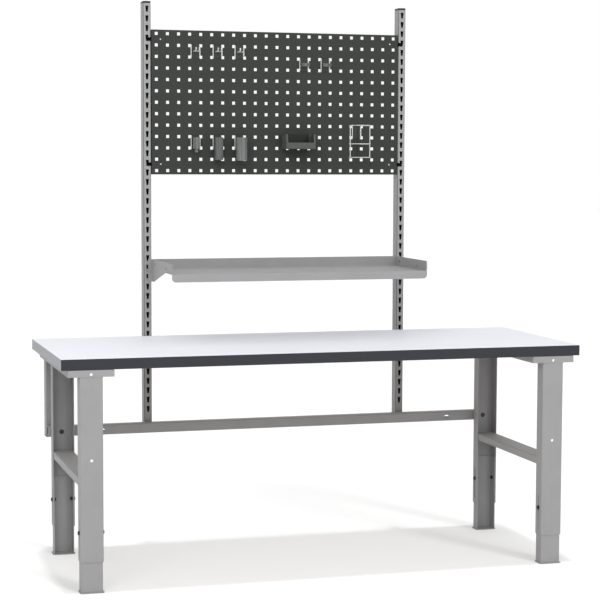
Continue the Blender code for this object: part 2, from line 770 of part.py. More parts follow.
def stub_mesh():
    """Model one short stub of the same section, open at both ends."""
    top = UNDERSIDE - STUB_TOP_GAP
    stub = plate("stub", tube_section(), top - POST_BOTTOM, "Z", (0, 0, (top + POST_BOTTOM) / 2))
    cut(stub, rod("stub bolt hole", BOLT_RADIUS + GAP, POST_DEPTH + 2 * OVERRUN, "Y", (0, 0, BAR_MIDDLE)))
    return bake(stub)


def plug_mesh(way):
    """Model an end plug: a rim over the end of the section and a plug inside it."""
    x, y = POST_WIDTH / 2, POST_DEPTH / 2
    rim = box("plug", (-x, -y, GAP), (x, y, CAP_THICKNESS))
    soften(rim, CAP_ROUND)
    width, depth = 2 * (x - POST_WALL - GAP), 2 * (y - POST_WALL - GAP)
    inside = rounded_rectangle(width, depth, POST_ROUND - POST_WALL)
    length = CAP_PLUG + CAP_ROUND + GAP
    middle = CAP_ROUND + GAP - length / 2
    join(rim, plate("plug stem", [inside], length, "Z", (0, 0, middle)))
    mesh = bake(rim)
    if way < 0:
        mesh.transform(Matrix.Rotation(math.pi, 4, "X"))
    return mesh


def build_posts(materials, parent):
    """Place the posts and stubs with their plugs, brackets and fixing bolts."""
    post, stub = post_mesh(), stub_mesh()
    cap, plug = plug_mesh(1), plug_mesh(-1)
    middle = POST_FRONT + POST_DEPTH / 2
    for side, side_name in ((-1, "left"), (1, "right")):
        post_x, stub_x = side * POST_X, side * STUB_X
        pieces = (
            ("post", post, post_x, 0, "frame"),
            ("post_cap", cap, post_x, POST_TOP, "black"),
            ("end_stub", stub, stub_x, 0, "frame"),
            ("stub_plug", plug, stub_x, POST_BOTTOM, "black"),
        )
        for kind, mesh, x, z, colour in pieces:
            finish(add_object(f"{kind}_{side_name}", mesh, (x, middle, z)), materials[colour], parent)
        for kind, x in (("post", post_x), ("stub", stub_x)):
            build_post_fixing(f"{kind}_bolt_{side_name}", x, materials["zinc"], parent)
            build_worktop_bracket(f"{kind}_bracket_{side_name}", x, materials["frame"], parent)


def build_post_fixing(name, x, material, parent):
    """Bolt a post to the crossbar with a nut plate that bears on the bar's lips from inside."""
    front = BAR_BACK - BAR_WALL
    grip = POST_BACK - front
    nut = (NUT_WIDTH, NUT_HEIGHT, NUT_THICKNESS)
    fixing = bolt(name, grip, "Y", (x, front + grip / 2, BAR_MIDDLE), -1, nut)
    finish(fixing, material, parent)


def build_worktop_bracket(name, x, material, parent):
    """Fold the angle that ties a post to the underside of the worktop."""
    top = UNDERSIDE - GAP - BRACKET_THICKNESS / 2
    back = POST_FRONT - GAP - BRACKET_THICKNESS / 2
    line = [(MEMBER_BACK + GAP, top), (back, top), (back, top - BRACKET_DROP)]
    angle = plate(name, [folded(line, BRACKET_THICKNESS, BRACKET_THICKNESS)], POST_WIDTH, "X", (x, 0, 0))
    finish(angle, material, parent)


# Perforated panel

def hole_place(column, row):
    """Give the X and Z of a panel hole, by its column from the left and its row from the top."""
    x = (column - (HOLE_COLUMNS - 1) / 2) * HOLE_PITCH
    return x, PANEL_TOP - HOLE_MARGIN - row * HOLE_PITCH


def build_panel(materials, parent):
    """Fold the panel's sheet back on four sides and punch its square holes."""
    low = (-PANEL_HALF_WIDTH, POST_FRONT, PANEL_BOTTOM)
    high = (PANEL_HALF_WIDTH, POST_FRONT + PANEL_RETURN, PANEL_TOP)
    panel = pan("perforated_panel", low, high, (0, 1, 0), PANEL_WALL, PANEL_BEND)
    half = HOLE_SIZE / 2
    front, back = POST_FRONT - OVERRUN, POST_FRONT + PANEL_WALL + OVERRUN
    punches = []
    for column in range(HOLE_COLUMNS):
        for row in range(HOLE_ROWS):
            x, z = hole_place(column, row)
            punches.append(box("punch", (x - half, front, z - half), (x + half, back, z + half)))
    cut(panel, combine("panel holes", punches))
    finish(panel, materials["panel"], parent)


def build_panel_hooks(materials, parent):
    """Build the four hooks on the panel's side returns, which hang in the slots of the posts."""
    upper = nearest_slot(PANEL_TOP - HOOK_INSET)
    lower = nearest_slot(PANEL_BOTTOM + HOOK_INSET)
    lead = -GAP - HOOK_WALL / 2
    front, back = POST_FRONT + lead, POST_FRONT + PANEL_RETURN
    for side, side_name in ((-1, "left"), (1, "right")):
        strap = side * (PANEL_HALF_WIDTH + GAP + HOOK_WALL / 2)
        edge = side * HOOK_EDGE
        section = folded([(strap, back), (strap, front), (edge, front)], HOOK_WALL, HOOK_WALL)
        for level, z in (("upper", upper), ("lower", lower)):
            name = f"panel_hook_{level}_{side_name}"
            hook = plate(name, [section], HOOK_HEIGHT, "Z", (0, 0, z - HOOK_SEAT))
            at = (side * POST_X, POST_FRONT, z - TONGUE_SEAT)
            join(hook, tongue(f"{name} tongue", lead, POST_WALL, TONGUE_HALF_HEIGHT, at))
            finish(hook, materials["black"], parent)


# Shelf

def build_shelf_brackets(materials, parent):
    """Build the two side brackets, whose flanges hang in the slots of the posts."""
    top, low = SHELF_EDGE_TOP, SHELF_EDGE_TOP - SHELF_BRACKET_DROP
    upper = nearest_slot((top + low + SLOT_PITCH) / 2) - TONGUE_SEAT
    seats = (upper, upper - SLOT_PITCH)
    nose_y, back = SHELF_FRONT + SHELF_WALL + GAP, POST_FRONT - GAP
    nose_low = top - SHELF_BRACKET_NOSE
    centre = (nose_y + SHELF_BRACKET_ROUND, top - SHELF_BRACKET_ROUND)
    outline = [(back, top)] + arc(centre, SHELF_BRACKET_ROUND, 90, 180, 2 * BEND_STEPS)
    outline += [(nose_y, nose_low), (nose_y + SHELF_BRACKET_FLAT, nose_low)]
    outline += [(back - SHELF_BRACKET_TAIL, low), (back, low)]
    inner = PANEL_HALF_WIDTH - SHELF_BRACKET_WALL
    fold = PANEL_HALF_WIDTH + SHELF_BRACKET_FLANGE
    flange = [(inner, top), (inner, low), (fold, low)]
    for z in reversed(seats):
        ear_low, ear_top = z - SHELF_EAR_HEIGHT / 2, z + SHELF_EAR_HEIGHT / 2
        flange += [(fold, ear_low), (HOOK_EDGE, ear_low), (HOOK_EDGE, ear_top), (fold, ear_top)]
    flange.append((fold, top))
    lead = -GAP - SHELF_BRACKET_WALL / 2
    for side, side_name in ((-1, "left"), (1, "right")):
        name = f"shelf_bracket_{side_name}"
        x = side * (PANEL_HALF_WIDTH - SHELF_BRACKET_WALL / 2)
        bracket = plate(name, [outline], SHELF_BRACKET_WALL, "X", (x, 0, 0))
        turned_flange = [(side * u, v) for u, v in flange]
        flange_at = (0, POST_FRONT + lead, 0)
        join(bracket, plate(f"{name} flange", [turned_flange], SHELF_BRACKET_WALL, "Y", flange_at))
        for number, z in enumerate(seats):
            at = (side * POST_X, POST_FRONT, z)
            join(bracket, tongue(f"{name} tongue {number}", lead, POST_WALL, TONGUE_HALF_HEIGHT, at))
        finish(bracket, materials["frame"], parent)


def build_shelf_tray(materials, parent):
    """Fold the shelf: a base with a rear and two side walls up and a rounded lip down at the front."""
    x, wall = SHELF_HALF_WIDTH, SHELF_WALL
    back = POST_FRONT - GAP - SHELF_BRACKET_WALL - GAP
    middle = SHELF_TOP - wall / 2
    line = [(back - wall / 2, SHELF_EDGE_TOP), (back - wall / 2, middle), (SHELF_FRONT, middle)]
    tray = plate("shelf_tray", [folded(line, wall, SHELF_BEND)], 2 * x, "X", (0, 0, 0))
    lip_x = PANEL_HALF_WIDTH - SHELF_LIP_INSET
    low = SHELF_TOP - SHELF_LIP_HEIGHT
    corner_u, corner_v = lip_x - SHELF_LIP_ROUND, low + SHELF_LIP_ROUND
    lip = [(lip_x, SHELF_TOP), (-lip_x, SHELF_TOP)]
    lip += arc((-corner_u, corner_v), SHELF_LIP_ROUND, 180, 270, 2 * BEND_STEPS)
    lip += arc((corner_u, corner_v), SHELF_LIP_ROUND, 270, 360, 2 * BEND_STEPS)
    join(tray, plate("shelf lip", [lip], wall, "Y", (0, SHELF_FRONT + wall / 2, 0)))
    for side in (-1, 1):
        ends = sorted((side * x, side * (x - wall)))
        low_corner = (ends[0], SHELF_FRONT, SHELF_TOP - wall)
        join(tray, box(f"shelf side {side}", low_corner, (ends[1], back, SHELF_EDGE_TOP)))
    finish(tray, materials["frame"], parent)


# Tool holders

def holder_base(name, column, row):
    """Fold a clip-in base, whose sides hook through four panel holes, and give it with its middle."""
    left, top = hole_place(column, row)
    x, z = left + HOLE_PITCH / 2, top - HOLE_PITCH / 2
    middle = BASE_THICKNESS / 2
    side_x, sheet = BASE_HALF_WIDTH - middle, POST_FRONT - GAP - middle
    front = POST_FRONT - GAP - BASE_DEPTH
    line = [(-side_x, front), (-side_x, sheet), (side_x, sheet), (side_x, front)]
    height = HOLE_PITCH + 2 * TONGUE_HALF_HEIGHT
    base = plate(name, [folded(line, BASE_THICKNESS, BASE_THICKNESS)], height, "Z", (x, 0, z))
    tongues = []
    for column_side in (-1, 1):
        for row_side in (-1, 1):
            at = (x + column_side * side_x, POST_FRONT, z + row_side * (HOLE_PITCH / 2 - SINK))
            width = BASE_THICKNESS - SINK
            tongues.append(tongue("tongue", -GAP - middle, PANEL_WALL, HOLE_SIZE / 2, at, width))
    join(base, combine(f"{name} tongues", tongues))
    return base, x, z


def build_wrench_hooks(materials, parent):
    """Build the three double hooks that wrenches hang from."""
    face = POST_FRONT - GAP - BASE_THICKNESS
    for number, column in enumerate(WRENCH_COLUMNS, 1):
        name = f"wrench_hook_{number}"
        base, x, z = holder_base(name, column, WRENCH_ROW)
        root, reach, bend = face + BASE_THICKNESS / 2, face - HOOK_WIRE_REACH, HOOK_WIRE_RISE / 2
        path = [(root, z), (reach + bend, z), (reach, z + bend), (reach, z + HOOK_WIRE_RISE)]
        prongs = []
        for side in (-1, 1):
            u = x + side * HOOK_WIRE_SPREAD / 2
            prongs.append(wire("prong", [(u, y, height) for y, height in path], HOOK_WIRE_RADIUS))
        join(base, combine(f"{name} prongs", prongs))
        finish(base, materials["holder"], parent, smooth=True)


def clip_outline():
    """Give an open ring, whose mouth faces the front."""
    middle = 270.0
    start, end = middle + CLIP_OPENING_DEGREES / 2, middle + 360.0 - CLIP_OPENING_DEGREES / 2
    outside = arc((0, 0), CLIP_RADIUS, start, end, CLIP_STEPS)
    inside = arc((0, 0), CLIP_RADIUS - CLIP_WALL, end, start, CLIP_STEPS)
    return outside + inside


def standoff(name, x, z, reach, height):
    """Make the block that carries a round holder in front of its base."""
    face, half = POST_FRONT - GAP - BASE_THICKNESS, STANDOFF_WIDTH / 2
    low = (x - half, face - reach - TUBE_WALL / 2, z - height / 2)
    return box(f"{name} standoff", low, (x + half, face + SINK, z + height / 2))


def build_driver_clips(materials, parent):
    """Build the two spring clips that screwdrivers stand in."""
    face = POST_FRONT - GAP - BASE_THICKNESS
    for number, from_right in enumerate(CLIP_COLUMNS_FROM_RIGHT, 1):
        name = f"driver_clip_{number}"
        base, x, z = holder_base(name, HOLE_COLUMNS - 1 - from_right, CLIP_ROW)
        centre_y = face - CLIP_STANDOFF - CLIP_RADIUS + SINK
        join(base, standoff(name, x, z, CLIP_STANDOFF, CLIP_HEIGHT))
        join(base, plate(f"{name} ring", [clip_outline()], CLIP_HEIGHT, "Z", (x, centre_y, z)))
        finish(base, materials["holder"], parent)


def build_tubes(materials, parent):
    """Build the funnel and the two tubes that tools stand in."""
    face = POST_FRONT - GAP - BASE_THICKNESS
    small = tube_profile(SMALL_TUBE_RADIUS, SMALL_TUBE_LENGTH)
    large = tube_profile(LARGE_TUBE_RADIUS, LARGE_TUBE_LENGTH)
    kinds = (
        ("tool_funnel", funnel_profile(), FUNNEL_RADIUS, FUNNEL_STANDOFF),
        ("tool_tube_small", small, SMALL_TUBE_RADIUS, SMALL_TUBE_STANDOFF),
        ("tool_tube_large", large, LARGE_TUBE_RADIUS, LARGE_TUBE_STANDOFF),
    )
    for column, (name, profile, radius, reach) in zip(LOWER_COLUMNS, kinds):
        base, x, z = holder_base(name, column, LOWER_ROW)
        join(base, standoff(name, x, z, reach, STANDOFF_HEIGHT))
        at = (x, face - reach - radius + SINK, z + TUBE_TOP_RISE)
        join(base, turned(f"{name} tube", profile, TUBE_SIDES, at))
        finish(base, materials["holder"], parent, smooth=True)


def tube_profile(radius, length):
    """Give a tube with a floor that has a drain hole, from its rim down its outside."""
    inside = radius - TUBE_WALL
    drain = SPOUT_RADIUS - TUBE_WALL
    floor = TUBE_WALL - length
    outside = [(radius, 0), (radius, -length), (drain, -length)]
    return outside + [(drain, floor), (inside, floor), (inside, 0)]


def funnel_profile():
    """Give a cup that steps down to a narrow open spout, from its rim down its outside."""
    low = FUNNEL_LENGTH + SPOUT_LENGTH
    inside, bore = FUNNEL_RADIUS - TUBE_WALL, SPOUT_RADIUS - TUBE_WALL
    step = -FUNNEL_LENGTH
    floor = step + TUBE_WALL
    outside = [(FUNNEL_RADIUS, 0), (FUNNEL_RADIUS, step), (SPOUT_RADIUS, step), (SPOUT_RADIUS, -low)]
    return outside + [(bore, -low), (bore, floor), (inside, floor), (inside, 0)]


def build_parts_tray(materials, parent):
    """Build the small tray with a low front."""
    base, x, z = holder_base("parts_tray", HOLE_COLUMNS - 1 - TRAY_COLUMN_FROM_RIGHT, TRAY_ROW)
    x += TRAY_OFFSET
    face = POST_FRONT - GAP - BASE_DEPTH
    top = z + HOLE_PITCH / 2 + TRAY_TOP_RISE
    low, front, back = top - TRAY_HEIGHT, face + SINK - TRAY_DEPTH, face + SINK
    half = TRAY_WIDTH / 2
    corners = ((x - half, front, low), (x + half, back, top))
    tray = pan("parts tray body", *corners, (0, 0, 1), TRAY_WALL, 2 * TRAY_WALL)
    rim, above, ahead = low + TRAY_FRONT_HEIGHT, top + OVERRUN, front - OVERRUN
    lean = front + TRAY_SIDE_LEAN
    slope = [(ahead, rim), (front + TRAY_WALL, rim), (lean + TRAY_WALL, above), (ahead, above)]
    cut(tray, plate("tray slope", [slope], TRAY_WIDTH + 2 * OVERRUN, "X", (x, 0, 0)))
    for side in (-1, 1):
        low_y, high_y, root, end = front + SINK, lean + SINK, rim - TRAY_WALL, top - SINK
        edge = [(low_y, root), (low_y + TRAY_WALL, root), (high_y + TRAY_WALL, end), (high_y, end)]
        at = (x + side * (half - TRAY_FLANGE / 2), 0, 0)
        join(tray, plate(f"tray edge {side}", [edge], TRAY_FLANGE - SINK, "X", at))
    join(base, tray)
    finish(base, materials["panel"], parent)


def build_can_holder(materials, parent):
    """Build the wire cage for a can: two rings, a base ring and upright wires."""
    base, x, z = holder_base("can_holder", HOLE_COLUMNS - 1 - CAN_COLUMN_FROM_RIGHT, CAN_ROW)
    face = POST_FRONT - GAP - BASE_THICKNESS
    radius = CAN_RING_RADIUS
    centre = (x, face - radius - CAN_WIRE_RADIUS + 2 * SINK)
    levels = (z + CAN_RING_RISE, z - CAN_RING_DROP, z - CAN_BASE_DROP)
    for number, level in enumerate(levels):
        points = [(u, v, level) for u, v in arc(centre, radius, 0, 360, CAN_RING_SIDES)[:-1]]
        join(base, wire(f"can ring {number}", points, CAN_WIRE_RADIUS, closed=True))
    for number, angle in enumerate(CAN_UPRIGHT_DEGREES):
        u, v = arc(centre, radius, angle, angle, 1)[0]
        points = [(u, v, levels[0] + SINK), (u, v, levels[-1] - SINK)]
        join(base, wire(f"can upright {number}", points, CAN_WIRE_RADIUS))
    ends = [(centre[0] - radius, centre[1], levels[-1]), (centre[0] + radius, centre[1], levels[-1])]
    join(base, wire("can floor wire", ends, CAN_WIRE_RADIUS))
    finish(base, materials["wire"], parent, smooth=True)


def main():
    """Build the whole workbench."""
    clear_scene()
    materials = make_materials()
    bench = add_empty("workbench_frame", (0, 0, 0))
    build_worktop(materials, bench)
    build_members(materials, bench)
    build_legs(materials, bench)
    build_crossbar(materials, bench)
    build_posts(materials, bench)
    build_panel(materials, bench)
    build_panel_hooks(materials, bench)
    build_shelf_brackets(materials, bench)
    build_shelf_tray(materials, bench)
    build_wrench_hooks(materials, bench)
    build_driver_clips(materials, bench)
    build_tubes(materials, bench)
    build_parts_tray(materials, bench)
    build_can_holder(materials, bench)


if __name__ == "__main__":
    main()
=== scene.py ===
"""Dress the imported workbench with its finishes, small fasteners and a plain studio.

Metres, +Z up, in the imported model's own frame, with the front at -Y.
"""

import math

import bmesh
import bpy
from bpy.props import FloatProperty, FloatVectorProperty, PointerProperty
from mathutils import Matrix, Vector


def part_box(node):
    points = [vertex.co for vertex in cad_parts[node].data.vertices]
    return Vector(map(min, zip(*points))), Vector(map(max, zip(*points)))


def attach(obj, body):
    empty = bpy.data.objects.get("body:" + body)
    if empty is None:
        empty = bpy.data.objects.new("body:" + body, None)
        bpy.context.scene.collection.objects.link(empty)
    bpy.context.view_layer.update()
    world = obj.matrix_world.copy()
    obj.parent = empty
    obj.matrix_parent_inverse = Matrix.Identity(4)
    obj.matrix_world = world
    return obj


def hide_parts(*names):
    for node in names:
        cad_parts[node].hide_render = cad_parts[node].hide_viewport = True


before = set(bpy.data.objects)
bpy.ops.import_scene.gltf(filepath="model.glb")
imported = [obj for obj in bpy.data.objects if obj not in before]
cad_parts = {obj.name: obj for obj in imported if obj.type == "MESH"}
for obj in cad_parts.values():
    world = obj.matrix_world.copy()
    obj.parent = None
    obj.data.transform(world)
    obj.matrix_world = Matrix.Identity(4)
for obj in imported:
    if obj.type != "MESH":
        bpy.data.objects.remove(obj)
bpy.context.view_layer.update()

bl_info = {
    "name": "Workbench dressing",
    "version": (1, 0, 0),
    "blender": (4, 5, 0),
    "location": "3D View > Sidebar > Workbench",
    "description": "Finishes, small fasteners and a studio for the slotted-post workbench",
    "category": "Object",
}

MM = 0.001
BENCH = "bench"

# Measures that a finish follows: the coated skin of a post, under which its painted shade inside
# begins, the depth and the side folds of a holder's base, whose folds carry a painted highlight, and
# the wall and the rim of the parts tray, within which its painted shade lies
COATED_SKIN = 0.5 * MM
BASE_DEPTH = 6.7 * MM
BASE_FOLD = 6.5 * MM
TRAY_WALL = 1.3 * MM
TRAY_RIM = 8.2 * MM

# Roughness of the panel and of the holders' bases on it
PANEL_ROUGHNESS = 0.68

# The middle part of a noise, which a finish spreads over its own range
NOISE_RANGE = {"From Min": 0.3, "From Max": 0.7}

# Sides of the turned shapes, steps of a domed head, and the angle from which an edge is sharp
FLANGE_SIDES, HEX_SIDES, DOME_SIDES, SHANK_SIDES = 24, 6, 20, 16
DOME_STEPS = 5
SHARP_ANGLE = math.radians(35)

# A clamp bolt's grip on the walls of both its legs, the height of its nut, the end of its thread
CLAMP_GRIP = 6.4 * MM
NUT_HEIGHT = 6.5 * MM
THREAD_END = 2 * MM

# Thickness of a nut plate behind the crossbar's lips
NUT_PLATE = 6 * MM

# Places of the shelf's screws on a bracket, and the walls that they hold together
SCREW_FROM_REAR, SCREW_FROM_FRONT = 58 * MM, 104 * MM
REAR_SCREW_DROP, FRONT_SCREW_DROP = 18 * MM, 23 * MM
SHELF_WALLS = 4.3 * MM

# Places of the worktop's screws, as shares of a pan's width and depth, and the pan's wall
SCREWS_ACROSS, SCREWS_ALONG = (0.1, 0.9), (0.18, 0.5, 0.82)
PAN_WALL = 2 * MM

# Places of the rivets, in from the panel's edges
RIVETS_FROM_LEFT, RIVETS_FROM_RIGHT = 37 * MM, 35 * MM
RIVETS_FROM_BOTTOM, RIVETS_FROM_TOP = 41 * MM, 38 * MM

# The large lamps, the ways to the lamps that light the floor, and their spread in degrees
LAMP_SIZE, LAMP_TARGET = 3.0, Vector((0.0, 0.0, 0.9))
RIGHT_LAMP_PLACE, LEFT_LAMP_PLACE = (2.0, -6.4, 4.2), (-2.5, -4.0, 4.5)
OVERHEAD_WAY, OVERHEAD_SPREAD = (0.0, 0.0, 1.0), 4
LOW_LAMP_WAY, LOW_LAMP_SPREAD = (0.40, -0.92, 0.22), 12

# Half the floor's width, and the camera's place, turn in radians and lens in millimetres
FLOOR_REACH = 40
CAMERA_PLACE = (-1.94233, -6.62391, 1.55903)
CAMERA_YAW, CAMERA_PITCH, CAMERA_ROLL = 0.28491, 0.07966, 0.00349
CAMERA_LENS, CAMERA_SENSOR, CAMERA_RANGE = 106.511, 36, 200


def linear(hex_code):
    """Turn an sRGB hex code into linear red, green, blue and alpha."""
    channels = [int(hex_code[i:i + 2], 16) / 255 for i in (0, 2, 4)]
    return (*[c / 12.92 if c <= 0.04045 else ((c + 0.055) / 1.055) ** 2.4 for c in channels], 1.0)


def colour(name, description, hex_code):
    """Declare one colour that the user may change."""
    return FloatVectorProperty(
        name=name, description=description, subtype="COLOR", size=4,
        min=0, max=1, default=linear(hex_code),
    )


def length(name, description, millimetres):
    """Declare one size that the user may change."""
    return FloatProperty(
        name=name, description=description, unit="LENGTH", min=0, default=millimetres * MM
    )


class WorkbenchFinishes(bpy.types.PropertyGroup):
    """Colours of the bench's finishes, with the painted shade and highlight that some of them carry."""

    laminate: colour("Laminate", "White melamine laminate of the worktop", "EFF1F7")
    board: colour("Board", "Pressed chips of the worktop's core", "AD9C80")
    front_band: colour("Front band", "Dark edge band at the front and rear", "2A2C32")
    end_band: colour("End band", "Grey edge band at both ends", "8F9196")
    frame_coat: colour("Frame coat", "Grey powder coat of the folded steel", "979697")
    # Painted shade: the near black inside of the posts stands in for the shade in the closed tube.
    post_inside_shade: colour("Post inside shade", "Painted shade on the bare steel inside the slotted posts", "0A0A0A")
    panel_coat: colour("Panel coat", "Dark powder coat of the perforated panel", "3A3C3A")
    tray_coat: colour("Parts tray coat", "Grey coat of the small parts tray", "4C4E4C")
    # Painted shade: the near black inside of the tray stands in for the shade behind its rim.
    tray_inside_shade: colour("Parts tray inside shade", "Painted shade inside the small parts tray", "1E1F1E")
    rivet: colour("Rivet", "Bare heads of the panel's rivets", "B4B6B4")
    holder_coat: colour("Holder coat", "Silver grey coat of the large tube, funnel and clips", "6D6E6D")
    # Painted shade: the small tube's coat is a darker copy of the holder coat, standing in for its
    # darker shading.
    shaded_small_coat: colour("Shaded small holder coat", "Holder coat darkened as painted shade on the small tube", "5E5F5E")
    # Painted highlight: the folds' zinc is brightened near white for the light that catches them.
    bare_edge_highlight: colour("Bare edge highlight", "Zinc plated side folds of the holder bases, brightened as painted highlight", "E6E7E5")
    # Painted shade: the bolts' zinc is darkened near black for the shade on their small heads.
    zinc: colour("Zinc plate", "Zinc plate of the bolts, darkened as painted shade", "3E3F41")
    screw_zinc: colour("Screw plate", "Bright zinc plate of the screws", "7E8082")
    wire: colour("Wire", "Zinc plated wire of the hooks and the can holder", "C8C9C6")
    hook_coat: colour("Hook coat", "Black powder coat of the panel's hooks", "040404")
    black: colour("Black plastic", "Moulded caps and plugs", "161617")


class WorkbenchFasteners(bpy.types.PropertyGroup):
    """Sizes of the small fasteners."""

    flange_radius: length("Flange radius", "Radius of the flange under a bolt's head", 9.0)
    flange_height: length("Flange height", "Height of the flange under a bolt's head", 1.6)
    hex_radius: length("Hex radius", "Radius over the corners of a bolt's head", 7.2)
    head_height: length("Head height", "Height of a bolt's head with its flange", 5.4)
    shank_radius: length("Shank radius", "Radius of a bolt's shank", 4.0)
    screw_radius: length("Screw radius", "Radius of a shelf screw's round head", 5.5)
    screw_height: length("Screw height", "Height of a shelf screw's round head", 2.6)
    wood_screw_radius: length("Wood screw radius", "Radius of a worktop screw's head", 5.0)
    rivet_radius: length("Rivet radius", "Radius of a panel rivet's head", 3.6)


class WorkbenchStudio(bpy.types.PropertyGroup):
    """Light and floor of the studio."""

    floor: colour("Floor", "Pale floor", "C4C4C4")
    floor_lift: FloatProperty(
        name="Floor lift", description="Part of the floor's white that needs no light",
        default=0.25, min=0, max=1,
    )
    sky: FloatProperty(
        name="Sky", description="Strength of the even light all round", default=0.78, min=0
    )
    right_lamp: FloatProperty(
        name="Right lamp", description="Power of the large lamp at the front right",
        default=88, min=0, unit="POWER",
    )
    left_lamp: FloatProperty(
        name="Left lamp", description="Power of the large lamp at the front left",
        default=108, min=0, unit="POWER",
    )
    overhead: FloatProperty(
        name="Overhead", description="Strength of the lamp overhead, which lights the floor alone",
        default=1.4, min=0,
    )
    low_lamp: FloatProperty(
        name="Low lamp", description="Strength of the low lamp, which lights the floor alone",
        default=2.3, min=0,
    )


# Nodes and materials

def add_node(tree, kind, settings=(), inputs=()):
    """Add a node, set its settings, and set or link its inputs."""
    node = tree.nodes.new(kind)
    for name, value in dict(settings).items():
        setattr(node, name, value)
    for name, value in dict(inputs).items():
        if isinstance(value, bpy.types.NodeSocket):
            tree.links.new(value, node.inputs[name])
        else:
            node.inputs[name].default_value = value
    return node


def start_material(name, hue, roughness, metallic=0.0, gloss=0.5):
    """Make a Principled material and give it with its tree and shader."""
    material = bpy.data.materials.new(name)
    material.use_nodes = True
    material.diffuse_color = hue
    shader = material.node_tree.nodes["Principled BSDF"]
    shader.inputs["Base Color"].default_value = hue
    shader.inputs["Roughness"].default_value = roughness
    shader.inputs["Metallic"].default_value = metallic
    shader.inputs["Specular IOR Level"].default_value = gloss
    return material, material.node_tree, shader


def grain(tree, size_mm, stretch=(1, 1, 1), detail=2.0):
    """Add noise whose grains are size_mm across, stretched along the axes, and give its output."""
    place = add_node(tree, "ShaderNodeTexCoord")
    spread = add_node(
        tree, "ShaderNodeMapping", {},
        {"Vector": place.outputs["Object"], "Scale": [1 / s for s in stretch]},
    )
    noise = add_node(
        tree, "ShaderNodeTexNoise", {},
        {"Vector": spread.outputs["Vector"], "Scale": 1 / (size_mm * MM), "Detail": detail},
    )
    return noise.outputs["Fac"]


def vary(tree, shader, hue, shades, amount, dullness=(), relief=()):
    """Vary a shader's colour by a noise, and its roughness and height where they are given.

    dullness is a noise with the lowest and highest roughness, and relief a noise with its depth
    in millimetres and its strength.
    """
    level = add_node(
        tree, "ShaderNodeMapRange", {},
        {"Value": shades, **NOISE_RANGE, "To Min": 1 - amount, "To Max": 1 + amount},
    )
    tinted = add_node(
        tree, "ShaderNodeHueSaturation", {}, {"Color": hue, "Value": level.outputs["Result"]}
    )
    tree.links.new(tinted.outputs["Color"], shader.inputs["Base Color"])
    if dullness:
        noise, low, high = dullness
        spread = add_node(
            tree, "ShaderNodeMapRange", {},
            {"Value": noise, **NOISE_RANGE, "To Min": low, "To Max": high},
        )
        tree.links.new(spread.outputs["Result"], shader.inputs["Roughness"])
    if relief:
        noise, depth_mm, strength = relief
        raised = add_node(
            tree, "ShaderNodeBump", {},
            {"Height": noise, "Distance": depth_mm * MM, "Strength": strength},
        )
        tree.links.new(raised.outputs["Normal"], shader.inputs["Normal"])


def places(tree):
    """Give the outputs X, Y and Z of a point's place on the bench."""
    place = add_node(tree, "ShaderNodeTexCoord")
    axes = add_node(tree, "ShaderNodeSeparateXYZ", {}, {"Vector": place.outputs["Object"]})
    return axes.outputs


def paint_zone(tree, shader, hue, *tests):
    """Lay another colour over the shader's own where each test gives 1."""
    where = tests[0]
    for test in tests[1:]:
        both = add_node(tree, "ShaderNodeMath", {"operation": "MULTIPLY"}, {0: where, 1: test})
        where = both.outputs[0]
    under = shader.inputs["Base Color"].links[0].from_socket
    mixed = add_node(
        tree, "ShaderNodeMix", {"data_type": "RGBA"}, {"Factor": where, 6: under, 7: hue}
    )
    tree.links.new(mixed.outputs[2], shader.inputs["Base Color"])


def seen_in_views(tree):
    """Give 1 where the camera, a reflection or glass looks, and 0 where the light itself goes."""
    rays = add_node(tree, "ShaderNodeLightPath").outputs
    seen = rays["Is Camera Ray"]
    for kind in ("Is Glossy Ray", "Is Transmission Ray"):
        either = add_node(tree, "ShaderNodeMath", {"operation": "MAXIMUM"}, {0: seen, 1: rays[kind]})
        seen = either.outputs[0]
    return seen


def powder_coat(name, hue, roughness, gloss):
    """Make polyester powder coat, sprayed dry and baked on folded steel."""
    # It reads as an even satin colour with slight orange peel. Its peel is about 1.5 mm across
    # and is drawn at 4 mm, because it would be lost in the render.
    material, tree, shader = start_material(name, hue, roughness, gloss=gloss)
    clouds, peel = grain(tree, 90, detail=3.0), grain(tree, 4)
    duller = (clouds, roughness - 0.05, roughness + 0.05)
    vary(tree, shader, hue, clouds, 0.035, dullness=duller, relief=(peel, 0.06, 0.5))
    return material


def slotted_tube(name, hue, shade_hue, low, high, roughness, gloss):
    """Make powder coat on a closed slotted tube, with painted shade on its bare inside."""
    # The spray reaches the outer faces alone, and the bare inside is painted near black as painted
    # shade, so each slot reads as a black mark. The zone begins under the coated skin and serves both
    # posts, by the size of X.
    material = powder_coat(name, hue, roughness, gloss)
    tree = material.node_tree
    middle, half = (low + high) / 2, (high - low) / 2
    axes = places(tree)
    far = add_node(tree, "ShaderNodeMath", {"operation": "ABSOLUTE"}, {0: axes["X"]})
    across = add_node(
        tree, "ShaderNodeMath", {"operation": "COMPARE"},
        {0: far.outputs[0], 1: abs(middle.x), 2: half.x - COATED_SKIN},
    )
    along = add_node(
        tree, "ShaderNodeMath", {"operation": "COMPARE"},
        {0: axes["Y"], 1: middle.y, 2: half.y - COATED_SKIN},
    )
    shader = tree.nodes["Principled BSDF"]
    paint_zone(tree, shader, shade_hue, across.outputs[0], along.outputs[0])
    return material


def melamine_laminate(name, hue):
    """Make melamine laminate, pressed against a pearl-textured plate."""
    # It reads as a hard white with a wide soft sheen and a faint pearl of 2 mm, drawn at 6 mm.
    material, tree, shader = start_material(name, hue, 0.55, gloss=0.08)
    clouds, pearl = grain(tree, 240), grain(tree, 6, detail=3.0)
    vary(tree, shader, hue, clouds, 0.012, dullness=(pearl, 0.50, 0.60), relief=(pearl, 0.05, 0.4))
    return material


